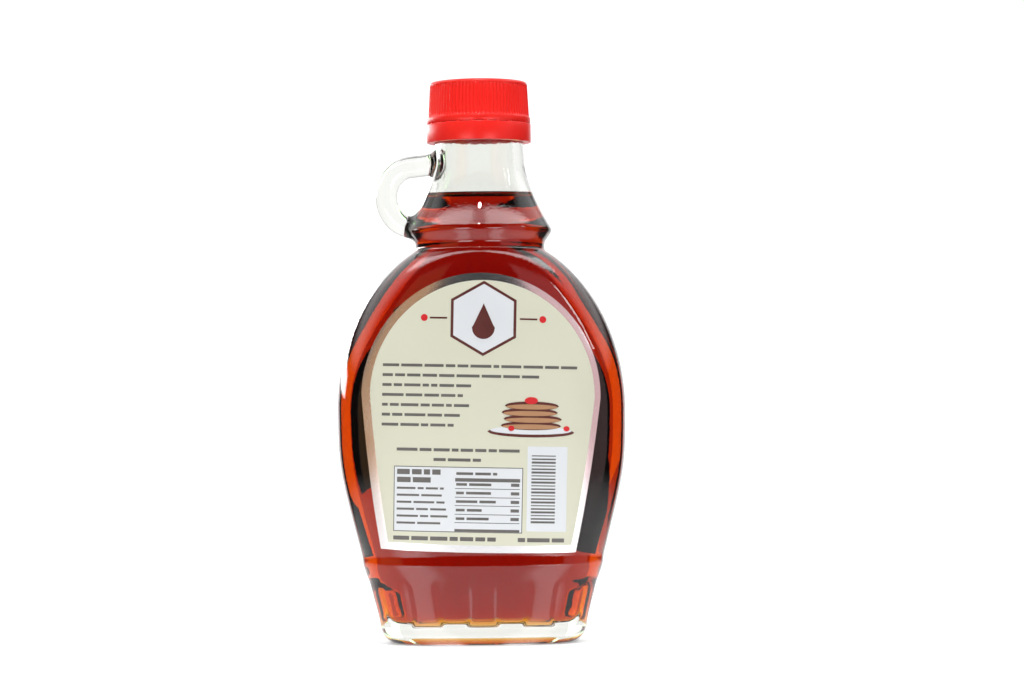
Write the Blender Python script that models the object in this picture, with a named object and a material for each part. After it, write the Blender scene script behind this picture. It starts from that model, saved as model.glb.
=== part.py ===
"""A small handled syrup bottle: clear glass flask, its filling, a ribbed screw cap and a front label.

Metres, +Z up. The origin is the middle of the foot, on the surface that the bottle stands on.
The flat faces look along -Y and +Y, and the glass ring handle is on the -X side of the neck.
"""
import math

import bmesh
import bpy
from mathutils import Vector

MM = 0.001

# Body of the flask
BELLY_Z = 68.0 * MM
BELLY_HALF_WIDTH = 42.1 * MM
BELLY_HALF_DEPTH = 22.9 * MM
SIDE_TAPER = 0.255
FACE_TAPER = 0.125
TAPER_START_Z = 52.0 * MM
TAPER_SOFTNESS = 4.0 * MM
ARCH_HEIGHT = 52.0 * MM
ARCH_INSET = 0.6 * MM
DOME_START_Z = 95.0 * MM
DOME_HEIGHT = 20.0 * MM
SHOULDER_TOP_Z = 114.7 * MM

# How square a level section is: 2 is an ellipse
ROUND_SECTION = 2.0
BELLY_SECTION = 3.0
FOOT_SECTION = 2.8

# Foot: rounded heel, flat ring to stand on, shallow push-up
HEEL_RADIUS = 3.8 * MM
STANDING_RING = 2.0 * MM
PUSH_UP = 1.6 * MM
PUSH_UP_SLOPE = 3.0 * MM

# Ten sunk panels round the foot, under a raised ledge
PANELS = 10
PANEL_WIDTH = 11.8 * MM
PANEL_LOW_Z = 5.2 * MM
PANEL_HIGH_Z = 20.6 * MM
PANEL_CORNER = 4.0 * MM
PANEL_DEPTH = 0.6 * MM
PANEL_EDGE = 1.4 * MM
LEDGE_Z = 22.9 * MM
LEDGE_REACH_UP = 3.4 * MM
LEDGE_REACH_DOWN = 5.0 * MM
LEDGE_ON_FACE = 0.7 * MM
LEDGE_ON_SIDE = 0.3 * MM

# Neck, with the lip that the handle springs from
NECK_RADIUS = 12.9 * MM
NECK_TOP_Z = 162.4 * MM
FLARE_TOP_Z = 141.0 * MM
FLARE_TOP_RADIUS = 13.3 * MM
FLARE_RATE = 0.059
FLARE_POWER = 1.626
FLARE_FOOT_Z = 122.4 * MM
GROOVE_RADIUS = 18.9 * MM
LIP = ((20.9 * MM, 121.1 * MM), (20.7 * MM, 120.0 * MM), (20.1 * MM, 118.8 * MM), (19.3 * MM, 117.7 * MM))
GROOVE_TOP_Z = 117.0 * MM

# Thickness of the glass, and the room inside it
WALL = 3.3 * MM
BORE_RADIUS = 9.7 * MM
FLOOR_Z = 5.3 * MM
FLOOR_CORNER = 7.0 * MM
FLOOR_SPREAD = 10.5 * MM
INSIDE_WAIST = 15.9 * MM

# Ring handle: an oval run of tube between the neck and the lip
HANDLE_TUBE = 3.15 * MM
HANDLE_MIDDLE = (-19.4 * MM, 130.5 * MM)
HANDLE_HALF_WIDTH = 8.0 * MM
HANDLE_HALF_HEIGHT = 8.9 * MM
HANDLE_START = (-11.6 * MM, 140.3 * MM)
HANDLE_END = (-17.8 * MM, 120.9 * MM)
HANDLE_FIRST_ANGLE = 90.0
HANDLE_LAST_ANGLE = 258.0

# Filling
FILL_Z = 129.7 * MM
GAP = 0.3 * MM

# Screw cap with its tamper band
CAP_TOP_Z = 164.3 * MM
CAP_CROWN = 0.25 * MM
CAP_CORNER = 0.9 * MM
CAP_TOP_RADIUS = 14.3 * MM
CAP_SKIRT_RADIUS = 14.8 * MM
CAP_BEAD_RADIUS = 15.15 * MM
CAP_BEAD_Z = 153.6 * MM
CAP_SLIT_Z = 151.75 * MM
CAP_SLIT = 0.4 * MM
CAP_SLIT_DEPTH = 0.7 * MM
BAND_RADIUS = 15.25 * MM
BAND_FOOT_Z = 146.3 * MM
CAP_WALL_RADIUS = 13.2 * MM
CAP_UNDERSIDE_Z = 162.8 * MM
CAP_RIBS = 84
CAP_RIB_DEPTH = 0.28 * MM
CAP_COLUMNS = 168

# Label on the front
LABEL_MIDDLE_Z = 72.0 * MM
LABEL_HALF_WIDTH = 34.4 * MM
LABEL_ARCH = 35.3 * MM
LABEL_FOOT_Z = 27.0 * MM
LABEL_FOOT_BOW = 0.5 * MM
LABEL_THICKNESS = 0.25 * MM
LABEL_SIDE_SLOPE = 0.1
LABEL_SIDE_CURVE = 0.9
LABEL_TILT = math.radians(-1.6)
LABEL_COLUMNS = 12
LABEL_LOW_ROWS = 6
LABEL_ARCH_ROWS = 10


def softplus(x):
    """A ramp that is 0 far below x = 0 and x far above it, with a rounded corner."""
    return math.log1p(math.exp(x))


def neck_radius(z):
    """Straight finish under the cap, then a flare that opens towards the lip."""
    drop = (FLARE_TOP_Z - z) / MM
    if drop <= 0.0:
        climb = min((z - FLARE_TOP_Z) / (5.0 * MM), 1.0)
        return FLARE_TOP_RADIUS + (NECK_RADIUS - FLARE_TOP_RADIUS) * climb
    return FLARE_TOP_RADIUS + FLARE_RATE * MM * drop ** FLARE_POWER


def half_width(z):
    """Half the flask's width: tapered sides below the belly, half an oval arch above it."""
    if z < BELLY_Z:
        ramp = TAPER_SOFTNESS * softplus((TAPER_START_Z - z) / TAPER_SOFTNESS)
        return BELLY_HALF_WIDTH - SIDE_TAPER * ramp
    rise = (z - BELLY_Z) / ARCH_HEIGHT
    return ARCH_INSET + (BELLY_HALF_WIDTH - ARCH_INSET) * math.sqrt(1.0 - rise * rise)


def half_depth(z):
    """Half the flask's depth: tapered faces below, a shallow dome to the groove above."""
    if z < DOME_START_Z:
        ramp = TAPER_SOFTNESS * softplus((TAPER_START_Z - z) / TAPER_SOFTNESS)
        return BELLY_HALF_DEPTH - FACE_TAPER * ramp
    rise = (z - DOME_START_Z) / DOME_HEIGHT
    base = GROOVE_RADIUS - ARCH_INSET
    return base + (BELLY_HALF_DEPTH - base) * math.sqrt(1.0 - rise * rise)


def squareness(z):
    """The section's exponent, from the foot through the belly to the round shoulder top."""
    if z < BELLY_Z:
        return FOOT_SECTION + (BELLY_SECTION - FOOT_SECTION) * z / BELLY_Z
    left = (SHOULDER_TOP_Z - z) / (SHOULDER_TOP_Z - BELLY_Z)
    ease = math.sin(0.5 * math.pi * min(1.0, max(0.0, left))) ** 4.0
    return ROUND_SECTION + (BELLY_SECTION - ROUND_SECTION) * ease


def section(width, depth, power, angle):
    """A point of the level section: an oval in angle, pushed out towards a rounded rectangle."""
    c, s = math.cos(angle), math.sin(angle)
    push = (abs(c) ** power + abs(s) ** power) ** (-1.0 / power)
    return Vector((push * width * c, push * depth * s, 0.0))


def spread_angles(count_round):
    """Angles whose points stand evenly along the foot's edge, and that edge's length."""
    fine = 3600
    level = 0.5 * (PANEL_LOW_Z + PANEL_HIGH_Z)
    size = (half_width(level), half_depth(level), squareness(level))
    points = [section(*size, 2.0 * math.pi * k / fine) for k in range(fine + 1)]
    walked = [0.0]
    for here, there in zip(points, points[1:]):
        walked.append(walked[-1] + (there - here).length)
    angles = []
    k = 0
    for share in count_round:
        goal = share % 1.0 * walked[-1]
        k = max(i for i in (0, k) if walked[i] <= goal)
        while walked[k + 1] < goal:
            k += 1
        part = (goal - walked[k]) / (walked[k + 1] - walked[k])
        angles.append(2.0 * math.pi * (k + part) / fine)
    return angles, walked[-1]


def panel_columns():
    """Columns of the foot: ten to a panel, crowded where its edges are."""
    pitch = spread_angles([])[1] / PANELS
    edge = 0.5 * PANEL_WIDTH
    offsets = (-0.5 * pitch, -edge, PANEL_EDGE - edge, -0.3 * PANEL_WIDTH, -0.15 * PANEL_WIDTH,
               0.0, 0.15 * PANEL_WIDTH, 0.3 * PANEL_WIDTH, edge - PANEL_EDGE, edge)
    shares = []
    across = []
    for panel in range(PANELS):
        for offset in offsets:
            shares.append((panel + offset / pitch) / PANELS)
            across.append(offset)
    start = min(range(len(shares)), key=lambda i: shares[i] % 1.0)
    shares = shares[start:] + shares[:start]
    across = across[start:] + across[:start]
    return spread_angles(shares)[0], across


def panel_sink(across, z):
    """How far a panel sinks the glass: full inside a rounded rectangle, none outside it."""
    middle = 0.5 * (PANEL_LOW_Z + PANEL_HIGH_Z)
    out_x = abs(across) - 0.5 * PANEL_WIDTH + PANEL_CORNER
    out_z = abs(z - middle) - 0.5 * (PANEL_HIGH_Z - PANEL_LOW_Z) + PANEL_CORNER
    beyond = math.hypot(max(out_x, 0.0), max(out_z, 0.0)) + min(max(out_x, out_z), 0.0) - PANEL_CORNER
    share = min(1.0, max(0.0, -beyond / PANEL_EDGE))
    return PANEL_DEPTH * share * share * (3.0 - 2.0 * share)


def ledge(z, facing):
    """How far the ledge stands out: a bump in z, larger on the flat faces than at the sides."""
    reach = LEDGE_REACH_UP if z > LEDGE_Z else LEDGE_REACH_DOWN
    off = abs(z - LEDGE_Z) / reach
    if off >= 1.0:
        return 0.0
    height = LEDGE_ON_SIDE + (LEDGE_ON_FACE - LEDGE_ON_SIDE) * facing
    return height * math.cos(0.5 * math.pi * off) ** 2


def heel_inset(z):
    """How far the quarter round of the heel stands back from the body's side."""
    if z >= HEEL_RADIUS:
        return 0.0
    return HEEL_RADIUS - math.sqrt(HEEL_RADIUS ** 2 - (HEEL_RADIUS - z) ** 2)


def foot_ring(z, angles, across):
    """A level ring of the fluted foot."""
    ring = []
    for angle, offset in zip(angles, across):
        out = ledge(z, math.sin(angle) ** 2) - heel_inset(z) - panel_sink(offset, z)
        point = section(half_width(z) + out, half_depth(z) + out, squareness(z), angle)
        ring.append(point + Vector((0.0, 0.0, z)))
    return ring


def body_ring(z, angles, inset=0.0):
    """A level ring of the smooth body, or of a skin that far inside it."""
    ring = []
    for angle in angles:
        out = -inset if inset else ledge(z, math.sin(angle) ** 2)
        point = section(half_width(z) + out, half_depth(z) + out, squareness(z), angle)
        ring.append(point + Vector((0.0, 0.0, z)))
    return ring


def round_ring(radius, z, angles):
    """A level circle."""
    return [Vector((radius * math.cos(a), radius * math.sin(a), z)) for a in angles]


def stitch(bm, one, two):
    """Faces between two rings: quads, or fans where one ring has several times the points."""
    if len(one) == len(two):
        for k in range(len(one)):
            n = (k + 1) % len(one)
            bm.faces.new((one[k], one[n], two[n], two[k]))
        return
    coarse, fine = sorted((one, two), key=len)
    step = len(fine) // len(coarse)
    turn = step // 2
    for k, here in enumerate(coarse):
        there = coarse[(k + 1) % len(coarse)]
        run = [fine[(k * step + i) % len(fine)] for i in range(step + 1)]
        for i in range(step):
            bm.faces.new((here if i < turn else there, run[i], run[i + 1]))
        bm.faces.new((here, run[turn], there))


def close_end(bm, ring, z):
    """A fan from a ring to a point on the axis."""
    middle = bm.verts.new((0.0, 0.0, z))
    for k in range(len(ring)):
        bm.faces.new((ring[k], ring[(k + 1) % len(ring)], middle))


def skin(name, rings, first_z, last_z):
    """A closed solid whose surface runs through a list of rings, closed on the axis at both ends."""
    bm = bmesh.new()
    loops = [[bm.verts.new(p) for p in ring] for ring in rings]
    for lower, upper in zip(loops, loops[1:]):
        stitch(bm, lower, upper)
    close_end(bm, loops[0], first_z)
    close_end(bm, loops[-1], last_z)
    return finish_mesh(name, bm)


def finish_mesh(name, bm):
    """Turn the faces outwards, shade them smooth and make the object."""
    bmesh.ops.recalc_face_normals(bm, faces=bm.faces)
    mesh = bpy.data.meshes.new(name)
    bm.to_mesh(mesh)
    bm.free()
    mesh.shade_smooth()
    mesh.set_sharp_from_angle(angle=math.radians(35.0))
    piece = bpy.data.objects.new(name, mesh)
    bpy.context.collection.objects.link(piece)
    return piece


def material(piece, colour, roughness, metallic=0.0, transmission=0.0):
    """A plain finish of the piece's own colour."""
    finish = bpy.data.materials.new(piece.name)
    finish.use_nodes = True
    shader = finish.node_tree.nodes["Principled BSDF"]
    shader.inputs["Base Color"].default_value = (*colour, 1.0)
    shader.inputs["Roughness"].default_value = roughness
    shader.inputs["Metallic"].default_value = metallic
    shader.inputs["Transmission Weight"].default_value = transmission
    finish.diffuse_color = (*colour, 1.0)
    piece.data.materials.append(finish)


def arch_levels(low_turn, high_turn, count):
    """Heights that are evenly spaced along the arch, between two turns of its quarter round."""
    levels = []
    for k in range(count):
        turn = low_turn + (high_turn - low_turn) * k / (count - 1)
        levels.append(BELLY_Z + ARCH_HEIGHT * math.sin(turn))
    return levels


def shoulder_turn():
    """The turn of the arch's quarter round at the shoulder's top."""
    return math.asin((SHOULDER_TOP_Z - BELLY_Z) / ARCH_HEIGHT)


def inside_radius(z):
    """The round inside of the neck: the bore, its flare, and a waist behind the lip and groove."""
    flare = neck_radius(z) - WALL
    return min(max(BORE_RADIUS, flare), INSIDE_WAIST)


def inside_rings(angles, inset, top_z):
    """Rings of the room inside the glass, from its dished floor to a height, drawn in by an inset."""
    corner = FLOOR_CORNER
    floor = FLOOR_Z + inset
    rings = []
    for turn in (0.0, 35.0, 65.0):
        t = math.radians(turn)
        back = WALL + inset + FLOOR_SPREAD * (1.0 - math.sin(t))
        z = floor + corner * (1.0 - math.cos(t))
        rings.append(body_ring(z, angles, back))
    levels = [floor + corner, 24.0 * MM, 40.0 * MM, 52.0 * MM]
    levels += arch_levels(0.0, shoulder_turn() - math.radians(4.0), 9)
    for z in levels:
        rings.append(body_ring(z, angles, WALL + inset))
    waist = INSIDE_WAIST - inset
    rings.append(round_ring(waist + 0.25 * MM, SHOULDER_TOP_Z + 0.6 * MM, angles))
    rings.append(round_ring(waist, SHOULDER_TOP_Z + 3.5 * MM, angles))
    for z in (122.5 * MM, 126.5 * MM, FILL_Z, 136.0 * MM, FLARE_TOP_Z, 146.0 * MM):
        if z <= top_z:
            rings.append(round_ring(inside_radius(z) - inset, z, angles))
    return rings


def foot_inset_ring(inset, z, angles):
    """A level ring under the foot, that far in from the body's edge."""
    ring = []
    for angle in angles:
        point = section(half_width(0.0) - inset, half_depth(0.0) - inset, FOOT_SECTION, angle)
        ring.append(point + Vector((0.0, 0.0, z)))
    return ring


def make_glass(angles, across):
    """The flask in one piece: foot, body, neck, lip and inside, with the ring handle fused on."""
    half = angles[1::2]
    rings = []
    rings.append(foot_inset_ring(HEEL_RADIUS + STANDING_RING + PUSH_UP_SLOPE, PUSH_UP, half))
    rings.append(foot_inset_ring(HEEL_RADIUS + STANDING_RING, 0.0, half))
    rings.append(foot_inset_ring(HEEL_RADIUS, 0.0, half))
    for z in (0.45, 1.7, 3.8, 5.3, 6.1, 8.6, 17.2, 19.6, 20.7, 22.9):
        rings.append(foot_ring(z * MM, angles, across))
    for z in (24.4, 26.3, 38.0, 48.0, 58.0):
        rings.append(body_ring(z * MM, half))
    for z in arch_levels(0.0, shoulder_turn(), 10):
        rings.append(body_ring(z, half))
    rings.append(round_ring(GROOVE_RADIUS, GROOVE_TOP_Z, half))
    for radius, z in reversed(LIP):
        rings.append(round_ring(radius, z, half))
    for z in (FLARE_FOOT_Z, 126.0 * MM, 130.0 * MM, 135.0 * MM, FLARE_TOP_Z, 146.0 * MM, 161.6 * MM):
        rings.append(round_ring(neck_radius(z), z, half))
    rings.append(round_ring(NECK_RADIUS - 0.8 * MM, NECK_TOP_Z, half))
    rings.append(round_ring(BORE_RADIUS + 0.8 * MM, NECK_TOP_Z, half))
    rings.append(round_ring(BORE_RADIUS, 161.6 * MM, half))
    rings += reversed(inside_rings(half, 0.0, NECK_TOP_Z))
    glass = skin("bottle_glass", rings, PUSH_UP, FLOOR_Z)
    handle = make_handle()
    join = glass.modifiers.new("handle", "BOOLEAN")
    join.operation = "UNION"
    join.object = handle
    material(glass, (0.9, 0.93, 0.9), 0.03, transmission=1.0)
    return glass


def handle_path():
    """The tube's middle line: out from the neck, round an oval, and back into the lip."""
    points = [Vector((HANDLE_START[0], 0.0, HANDLE_START[1]))]
    steps = 14
    for k in range(steps + 1):
        turn = math.radians(HANDLE_FIRST_ANGLE + (HANDLE_LAST_ANGLE - HANDLE_FIRST_ANGLE) * k / steps)
        x = HANDLE_MIDDLE[0] + HANDLE_HALF_WIDTH * math.cos(turn)
        z = HANDLE_MIDDLE[1] + HANDLE_HALF_HEIGHT * math.sin(turn)
        points.append(Vector((x, 0.0, z)))
    points.append(Vector((HANDLE_END[0], 0.0, HANDLE_END[1])))
    return points


def make_handle():
    """The handle's tube, as a solid for the glass to join with."""
    curve = bpy.data.curves.new("handle_tube", "CURVE")
    curve.dimensions = "3D"
    curve.bevel_depth = HANDLE_TUBE
    curve.bevel_resolution = 4
    curve.use_fill_caps = True
    spline = curve.splines.new("POLY")
    path = handle_path()
    spline.points.add(len(path) - 1)
    for point, place in zip(spline.points, path):
        point.co = (*place, 1.0)
    guide = bpy.data.objects.new("handle_guide", curve)
    bpy.context.collection.objects.link(guide)
    bpy.context.view_layer.update()
    mesh = bpy.data.meshes.new_from_object(guide.evaluated_get(bpy.context.evaluated_depsgraph_get()))
    bpy.data.objects.remove(guide)
    tube = bpy.data.objects.new("handle_tube", mesh)
    bpy.context.collection.objects.link(tube)
    tube.hide_render = True
    tube.display_type = "WIRE"
    return tube


def make_syrup(angles):
    """The filling: it follows the inside of the glass up to the level shown."""
    rings = inside_rings(angles[1::2], GAP, FILL_Z)
    syrup = skin("syrup", rings, FLOOR_Z + GAP, FILL_Z)
    material(syrup, (0.35, 0.03, 0.005), 0.05, transmission=0.8)


def cap_rings():
    """Rings of the cap from the middle of its top, down the outside and up the bore."""
    turns = [2.0 * math.pi * k / CAP_COLUMNS for k in range(CAP_COLUMNS)]
    rib_turns = [math.pi * k / CAP_RIBS for k in range(2 * CAP_RIBS)]
    rib_top = CAP_TOP_Z - CAP_CROWN - 1.2 * MM
    rib_foot = CAP_BEAD_Z + 0.3 * MM
    slit_high = CAP_SLIT_Z + 0.5 * CAP_SLIT
    slit_low = CAP_SLIT_Z - 0.5 * CAP_SLIT
    slit_floor = CAP_BEAD_RADIUS - CAP_SLIT_DEPTH
    crown_edge = CAP_TOP_Z - CAP_CROWN
    rings = []
    rings.append(round_ring(CAP_TOP_RADIUS - CAP_CORNER, crown_edge, turns))
    rings.append(round_ring(CAP_TOP_RADIUS - 0.3 * CAP_CORNER, crown_edge - 0.3 * CAP_CORNER, turns))
    rings.append(round_ring(CAP_TOP_RADIUS - 0.05 * MM, rib_top + 0.2 * MM, turns))
    rings.append(rib_ring(CAP_TOP_RADIUS, rib_top - 0.2 * MM, rib_turns))
    rings.append(rib_ring(CAP_SKIRT_RADIUS, rib_foot, rib_turns))
    rings.append(round_ring(CAP_BEAD_RADIUS - 0.1 * MM, CAP_BEAD_Z - 0.15 * MM, turns))
    rings.append(round_ring(CAP_BEAD_RADIUS, CAP_BEAD_Z - 0.5 * MM, turns))
    rings.append(round_ring(CAP_BEAD_RADIUS, slit_high + 0.1 * MM, turns))
    rings.append(round_ring(slit_floor, slit_high, turns))
    rings.append(round_ring(slit_floor, slit_low, turns))
    rings.append(round_ring(BAND_RADIUS, slit_low - 0.1 * MM, turns))
    rings.append(round_ring(BAND_RADIUS, BAND_FOOT_Z + 0.15 * MM, turns))
    rings.append(round_ring(BAND_RADIUS - 0.25 * MM, BAND_FOOT_Z, turns))
    rings.append(round_ring(CAP_WALL_RADIUS + 0.15 * MM, BAND_FOOT_Z, turns))
    rings.append(round_ring(CAP_WALL_RADIUS, BAND_FOOT_Z + 0.4 * MM, turns))
    rings.append(round_ring(CAP_WALL_RADIUS, CAP_UNDERSIDE_Z, turns))
    return rings


def rib_ring(radius, z, turns):
    """A ring that zigzags between the tips of the ribs and the valleys beside them."""
    ring = []
    for k, turn in enumerate(turns):
        reach = radius - CAP_RIB_DEPTH * (k % 2)
        ring.append(Vector((reach * math.cos(turn), reach * math.sin(turn), z)))
    return ring


def make_cap():
    """The plastic cap: crowned top, ribbed skirt, bead, slit and plain tamper band."""
    cap = skin("screw_cap", cap_rings(), CAP_TOP_Z, CAP_UNDERSIDE_Z)
    material(cap, (0.9, 0.02, 0.02), 0.35)


def label_half_width(z):
    """Half the label's width: an arch above its widest level, slowly narrowing below it."""
    if z >= LABEL_MIDDLE_Z:
        rise = (z - LABEL_MIDDLE_Z) / LABEL_ARCH
        return LABEL_HALF_WIDTH * math.sqrt(max(0.0, 1.0 - rise * rise))
    drop = LABEL_MIDDLE_Z - z
    return LABEL_HALF_WIDTH - LABEL_SIDE_SLOPE * drop - LABEL_SIDE_CURVE * drop * drop


def face_depth(x, z, out):
    """How far forward the front face stands at a place, plus a distance out of the glass."""
    proud = out + ledge(z, 1.0)
    across = min(1.0, abs(x) / (half_width(z) + proud))
    return (half_depth(z) + proud) * (1.0 - across ** squareness(z)) ** (1.0 / squareness(z))


def tilted(x, z):
    """A place on the label after the whole label is turned a little about its widest level's middle."""
    c, s = math.cos(LABEL_TILT), math.sin(LABEL_TILT)
    up = z - LABEL_MIDDLE_Z
    return c * x - s * up, s * x + c * up + LABEL_MIDDLE_Z


def label_rows():
    """Heights of the label's rows: even below its widest level, even along the arch above."""
    low_height = LABEL_MIDDLE_Z - LABEL_FOOT_Z
    low = [LABEL_FOOT_Z + low_height * k / LABEL_LOW_ROWS for k in range(LABEL_LOW_ROWS)]
    last_turn = math.radians(87.0)
    high = [LABEL_MIDDLE_Z + LABEL_ARCH * math.sin(last_turn * k / LABEL_ARCH_ROWS)
            for k in range(LABEL_ARCH_ROWS + 1)]
    return low + high


def make_label():
    """The paper label, a thin sheet bent to the front face and stuck on slightly askew."""
    bm = bmesh.new()
    layers = []
    rows = label_rows()
    for out in (GAP, GAP + LABEL_THICKNESS):
        layer = []
        for z in rows:
            row = []
            for k in range(LABEL_COLUMNS + 1):
                across = 2.0 * k / LABEL_COLUMNS - 1.0
                bow = LABEL_FOOT_BOW * across * across * max(0.0, 1.0 - (z - LABEL_FOOT_Z) / (10.0 * MM))
                x, level = tilted(across * label_half_width(z), z + bow)
                row.append(bm.verts.new((x, -face_depth(x, level, out), level)))
            layer.append(row)
        layers.append(layer)
    back, front = layers
    top, side = len(rows) - 1, LABEL_COLUMNS
    for layer in layers:
        for r in range(top):
            for k in range(side):
                bm.faces.new((layer[r][k], layer[r][k + 1], layer[r + 1][k + 1], layer[r + 1][k]))
    for r in range(top):
        for k in (0, side):
            bm.faces.new((back[r][k], back[r + 1][k], front[r + 1][k], front[r][k]))
    for k in range(side):
        for r in (0, top):
            bm.faces.new((back[r][k], back[r][k + 1], front[r][k + 1], front[r][k]))
    label = finish_mesh("label_front", bm)
    material(label, (0.8, 0.78, 0.66), 0.45)


def main():
    for piece in list(bpy.data.objects):
        bpy.data.objects.remove(piece)
    angles, across = panel_columns()
    make_glass(angles, across)
    make_syrup(angles)
    make_cap()
    make_label()


main()
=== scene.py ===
"""The looks of a small handled syrup bottle: clear flask, dark amber filling, red cap, foil-edged label.

Metres, +Z up, the foot's middle at the origin, the label towards -Y, the ring handle towards -X.
Surfaces are arrays of points worked out with numpy: rings of columns round the bottle, or grids.
"""
import math
from functools import reduce

import bmesh
import bpy
import numpy as np
from mathutils import Matrix, Vector


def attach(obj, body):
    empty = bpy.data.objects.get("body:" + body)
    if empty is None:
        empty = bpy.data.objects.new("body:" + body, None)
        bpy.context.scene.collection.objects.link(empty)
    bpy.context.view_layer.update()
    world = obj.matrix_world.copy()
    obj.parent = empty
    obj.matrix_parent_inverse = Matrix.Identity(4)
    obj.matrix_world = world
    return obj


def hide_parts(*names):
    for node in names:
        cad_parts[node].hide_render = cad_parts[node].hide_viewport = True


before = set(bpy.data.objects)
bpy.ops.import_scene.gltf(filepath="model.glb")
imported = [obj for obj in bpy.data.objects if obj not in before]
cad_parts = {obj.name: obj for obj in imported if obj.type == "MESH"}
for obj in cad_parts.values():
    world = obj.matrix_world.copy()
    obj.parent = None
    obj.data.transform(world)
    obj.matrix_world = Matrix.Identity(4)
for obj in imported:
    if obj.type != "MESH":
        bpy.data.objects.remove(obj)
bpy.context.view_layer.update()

MM = 0.001

# Body of the flask, as the solids have it
BELLY_Z = 68.0 * MM
BELLY_HALF_WIDTH = 42.1 * MM
BELLY_HALF_DEPTH = 22.9 * MM
SIDE_TAPER = 0.255
FACE_TAPER = 0.125
TAPER_START_Z = 52.0 * MM
TAPER_SOFTNESS = 4.0 * MM
ARCH_HEIGHT = 52.0 * MM
ARCH_INSET = 0.6 * MM
DOME_START_Z = 95.0 * MM
DOME_HEIGHT = 20.0 * MM
SHOULDER_TOP_Z = 114.7 * MM
NECK_JOIN_Z = 100.0 * MM
NECK_ALONE_Z = SHOULDER_TOP_Z + 1.5 * MM
ROUND_SECTION = 2.0
BELLY_SECTION = 3.0
FOOT_SECTION = 2.8

# Foot
HEEL_RADIUS = 3.8 * MM
STANDING_RING = 2.0 * MM
PUSH_UP = 1.6 * MM
PUSH_UP_SLOPE = 3.0 * MM
KNURLS = 90
KNURL_DEPTH = 0.14 * MM
KNURL_EDGE = 0.4 * MM
PANELS = 10
PANEL_WIDTH = 11.8 * MM
PANEL_LOW_Z = 5.2 * MM
PANEL_HIGH_Z = 20.6 * MM
PANEL_MIDDLE_Z = 0.5 * (PANEL_LOW_Z + PANEL_HIGH_Z)
PANEL_CORNER = 4.0 * MM
PANEL_DEPTH = 0.45 * MM
PANEL_EDGE = 1.9 * MM
PANEL_FADE = 6.0 * MM
PANEL_FADE_END_Z = PANEL_HIGH_Z + 0.5 * MM
LEDGE_Z = 22.9 * MM
LEDGE_REACH_UP = 3.4 * MM
LEDGE_REACH_DOWN = 5.0 * MM
LEDGE_ON_FACE = 0.7 * MM
LEDGE_ON_SIDE = 0.3 * MM

# Neck and lip
NECK_TOP_Z = 162.4 * MM
NECK_RADIUS = 12.9 * MM
NECK_TAPER_HEIGHT = 5.0 * MM
FLARE_TOP_Z = 141.0 * MM
FLARE_TOP_RADIUS = 13.3 * MM
FLARE_RATE = 0.059
FLARE_POWER = 1.626
GROOVE_RADIUS = 18.9 * MM
UNDERCUT_Z = 116.9 * MM
UNDERCUT_SLOPE = 0.72
LIP_ROUNDING = 0.5 * MM
GROOVE_ROUNDING = 0.3 * MM
MOUTH_EDGE = 0.25 * MM
MOUTH_FLAT = 0.8 * MM

# Inside of the glass; a pair is the level where a change starts and the height that it takes
WALL = 3.3 * MM
BORE_RADIUS = 9.7 * MM
BORE_ROUNDING = 0.3 * MM
FLOOR_Z = 5.3 * MM
FLOOR_CORNER = 7.0 * MM
FLOOR_SPREAD = 7.0 * MM
FLOOR_CHANNEL = 5.0 * MM
FLOOR_RISE = 2.2 * MM
SIDE_THICKENING = 0.3 * MM
INSIDE_WAIST = 15.9 * MM
INSIDE_WAIST_ROUNDING = 0.6 * MM
INSIDE_SHOULDER_ROUNDING = 1.2 * MM
INSIDE_ROUND_SHARE = 0.8
INSIDE_ROUND_FROM = (20.0 * MM, 20.0 * MM)
THICK_SIDE_UNTIL = (80.0 * MM, 20.0 * MM)
BORE_FROM = (104.0 * MM, 12.0 * MM)
BORE_ALONE_Z = SHOULDER_TOP_Z + 5.0 * MM
WAVES_FROM = (FLOOR_Z, 8.0 * MM)
WAVES_UNTIL = (136.0 * MM, 8.0 * MM)
# Waves: turns round the bottle, length up it in mm, start in radians, height in mm
WAVES = ((2, 31.0, 0.4, 0.05), (3, 17.0, 2.1, 0.04), (5, 11.0, 4.4, 0.025), (9, 6.5, 1.3, 0.012),
         (1, 3.3, 0.2, 0.014), (0, 5.1, 2.9, 0.02))

# Filling
LEVEL_Z = 128.9 * MM
MENISCUS = 1.0 * MM
MENISCUS_REACH = 0.6 * MM
FILM_HEIGHT = 1.9 * MM
FILM_DEPTH = 0.14 * MM
INTO_WALL = 0.05 * MM
SURFACE_RINGS = np.array([0.05, 0.08, 0.11, 0.14, 0.25, 0.4, 0.6, 0.9, 1.3, 1.8, 2.5, 3.5, 5.0, 7.0, 9.0, 11.0]) * MM

# Ring handle; a root is its level, and half its rows and columns in the grid of the outside
HANDLE_TUBE = 3.15 * MM
HANDLE_MIDDLE = (-19.4 * MM, 130.5 * MM)
HANDLE_HALF_SIZE = (8.0 * MM, 8.9 * MM)
HANDLE_START = (-11.6 * MM, 140.3 * MM)
HANDLE_END = (-17.8 * MM, 120.9 * MM)
HANDLE_LAST_ANGLE = 258.0
HANDLE_CLEARANCE = 1.7 * MM
HANDLE_STEPS = 241
HANDLE_SMOOTHING = 25
NECK_ROOT = (139.9 * MM, 8, 18)
LIP_ROOT = (121.6 * MM, 12, 14)
ROOT_ROWS = 7

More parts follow.
